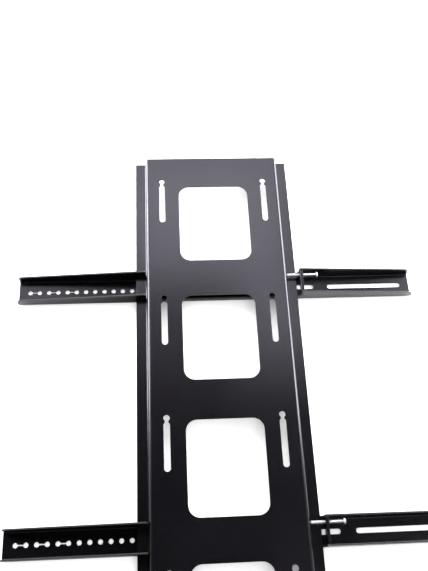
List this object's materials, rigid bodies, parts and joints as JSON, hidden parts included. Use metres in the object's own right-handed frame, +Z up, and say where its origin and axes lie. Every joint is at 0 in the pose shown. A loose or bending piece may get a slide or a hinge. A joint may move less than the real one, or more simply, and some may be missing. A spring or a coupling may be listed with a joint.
{
  "type": "tv wall mount",
  "caption": "Low-profile wall mount for a flat screen: folded steel plate with windows and keyhole slots, channel arms that hook on its rails and locking screws.",
  "frame": {"origin": "centre of the plate's wall face", "axes": "+X along the plate, to the right as seen from the room; +Y into the wall; +Z up, towards the arms' hooks"},
  "size_m": [0.852, 0.0345, 0.6402],
  "materials": {
    "plate_coat": "satin black powder coat",
    "arm_coat": "satin black powder coat",
    "zinc": "bright zinc plating"
  },
  "bodies": {
    "plate": {"wall_plate": "plate_coat"},
    "left_arm": {"left_arm": "arm_coat"},
    "right_arm": {"right_arm": "arm_coat"},
    "left_screw": {"left_lock_screw": "zinc"},
    "right_screw": {"right_lock_screw": "zinc"}
  },
  "joints": [
    {"name": "left_arm_slide", "type": "slide", "parent": "plate", "child": "left_arm", "axis": [1, 0, 0], "range_m": [-0.205, 0.165]},
    {"name": "right_arm_slide", "type": "slide", "parent": "plate", "child": "right_arm", "axis": [1, 0, 0], "range_m": [-0.165, 0.205]},
    {"name": "left_lock", "type": "slide", "parent": "left_arm", "child": "left_screw", "axis": [0, 0, -1], "range_m": [-0.0007, 0.02]},
    {"name": "right_lock", "type": "slide", "parent": "right_arm", "child": "right_screw", "axis": [0, 0, -1], "range_m": [-0.0007, 0.02]}
  ]
}
